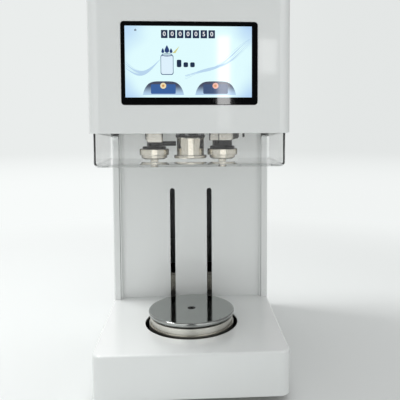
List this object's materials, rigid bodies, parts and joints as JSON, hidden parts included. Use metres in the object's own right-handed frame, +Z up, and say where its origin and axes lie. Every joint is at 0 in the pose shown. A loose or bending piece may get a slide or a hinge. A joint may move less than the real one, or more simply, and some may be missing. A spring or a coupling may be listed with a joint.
{
  "type": "can seamer",
  "caption": "Bench-top can seamer: a lifting turntable on a C-shaped column raises a can to a spinning chuck, and swinging rolls fold the seam under a display.",
  "frame": {"origin": "middle of the footprint, on the surface that the feet stand on", "axes": "+Z up, +X to the machine's right seen from the front, -Y towards the operator"},
  "size_m": [0.25, 0.37, 0.547],
  "materials": {
    "white_paint": "gloss white paint",
    "black_paint": "satin black",
    "steel": "ground steel",
    "polished_steel": "polished steel",
    "black_plastic": "black plastic",
    "rubber": "moulded rubber",
    "belt": "fabric-backed rubber",
    "display_glass": "black cover lens",
    "clear_acrylic": "clear acrylic",
    "circuit_board": "solder mask",
    "aluminium": "machined aluminium",
    "motor_case": "black motor case",
    "bronze": "sintered bronze"
  },
  "bodies": {
    "machine": {"base_plate": "steel", "base_cover": "white_paint", "rubber_feet": "rubber", "well_liner": "black_plastic", "column_frame": "black_paint", "left_side_cover": "white_paint", "right_side_cover": "white_paint", "column_front_panel": "white_paint", "rear_cover": "white_paint", "head_front_cover": "white_paint", "head_top_cover": "white_paint", "display_glass": "display_glass", "display_housing": "black_plastic", "control_board": "circuit_board", "clear_guard": "clear_acrylic", "cover_screws": "polished_steel", "head_plate": "black_paint", "spindle_housing": "aluminium", "spindle_bearings": "steel", "drive_belt": "belt", "main_motor": "motor_case", "left_arm_motor": "motor_case", "right_arm_motor": "motor_case", "motor_brackets": "steel", "pivot_bushes": "bronze", "guide_rods": "polished_steel", "lift_motor": "motor_case", "screw_bearing": "bronze", "power_supply": "aluminium", "power_inlet": "black_plastic"},
    "spindle": {"spindle_shaft": "black_paint", "seaming_chuck": "polished_steel", "chuck_bolts": "steel", "spindle_pulley": "aluminium"},
    "motor_rotor": {"motor_pulley": "aluminium"},
    "left_roll_arm": {"left_arm": "steel", "left_collar": "black_paint", "left_lever": "black_paint", "left_roll_pin": "polished_steel", "left_sector_shaft": "steel"},
    "right_roll_arm": {"right_arm": "steel", "right_collar": "black_paint", "right_roll_pin": "polished_steel", "right_sector_shaft": "steel"},
    "left_seaming_roll": {"left_roll": "polished_steel"},
    "right_seaming_roll": {"right_roll": "polished_steel"},
    "left_drive_pinion": {"left_pinion": "steel"},
    "right_drive_pinion": {"right_pinion": "steel"},
    "lift": {"carriage_bracket": "steel", "lead_nut": "bronze", "linear_bearings": "steel", "lift_arms": "black_paint", "table_drum": "steel", "plate_bearing": "steel"},
    "lift_screw": {"lead_screw": "steel", "screw_coupling": "aluminium"},
    "turntable": {"turn_plate": "polished_steel", "plate_hub": "steel", "plate_screw": "black_paint"},
    "power_rocker": {"switch_rocker": "black_plastic"}
  },
  "joints": [
    {"name": "spindle_spin", "type": "hinge", "parent": "machine", "child": "spindle", "pos_m": [0, -0.075, 0.35], "axis": [0, 0, 1], "continuous": true},
    {"name": "motor_spin", "type": "hinge", "parent": "machine", "child": "motor_rotor", "pos_m": [0, 0.002, 0.46], "axis": [0, 0, 1], "continuous": true},
    {"name": "left_arm_swing", "type": "hinge", "parent": "machine", "child": "left_roll_arm", "pos_m": [-0.058, -0.012, 0.34], "axis": [0, 0, 1], "range_deg": [-2, 6]},
    {"name": "right_arm_swing", "type": "hinge", "parent": "machine", "child": "right_roll_arm", "pos_m": [0.058, -0.012, 0.34], "axis": [0, 0, 1], "range_deg": [-0.5, 7]},
    {"name": "left_roll_spin", "type": "hinge", "parent": "left_roll_arm", "child": "left_seaming_roll", "pos_m": [-0.0509, -0.0756, 0.311], "axis": [0, 0, 1], "continuous": true},
    {"name": "right_roll_spin", "type": "hinge", "parent": "right_roll_arm", "child": "right_seaming_roll", "pos_m": [0.0454, -0.07475, 0.311], "axis": [0, 0, 1], "continuous": true},
    {"name": "left_pinion_spin", "type": "hinge", "parent": "machine", "child": "left_drive_pinion", "pos_m": [-0.07834, -0.05768, 0.365], "axis": [0, 0, 1], "range_deg": [-26, 10]},
    {"name": "right_pinion_spin", "type": "hinge", "parent": "machine", "child": "right_drive_pinion", "pos_m": [0.07834, -0.05768, 0.365], "axis": [0, 0, 1], "range_deg": [-30, 4]},
    {"name": "lift_slide", "type": "slide", "parent": "machine", "child": "lift", "axis": [0, 0, 1], "range_m": [0, 0.165]},
    {"name": "screw_spin", "type": "hinge", "parent": "machine", "child": "lift_screw", "pos_m": [0, 0.08, 0.2], "axis": [0, 0, 1], "continuous": true},
    {"name": "turntable_spin", "type": "hinge", "parent": "lift", "child": "turntable", "pos_m": [0, -0.075, 0.08], "axis": [0, 0, 1], "continuous": true},
    {"name": "switch_rock", "type": "hinge", "parent": "machine", "child": "power_rocker", "pos_m": [-0.056, 0.1796, 0.1205], "axis": [1, 0, 0], "range_deg": [-16, 0]}
  ],
  "couplings": [
    {"joint": "motor_spin", "follows": "spindle_spin", "ratio": 2},
    {"joint": "left_pinion_spin", "follows": "left_arm_swing", "ratio": -4},
    {"joint": "right_pinion_spin", "follows": "right_arm_swing", "ratio": -4},
    {"joint": "screw_spin", "follows": "lift_slide", "rad_per_m": -628.32}
  ]
}
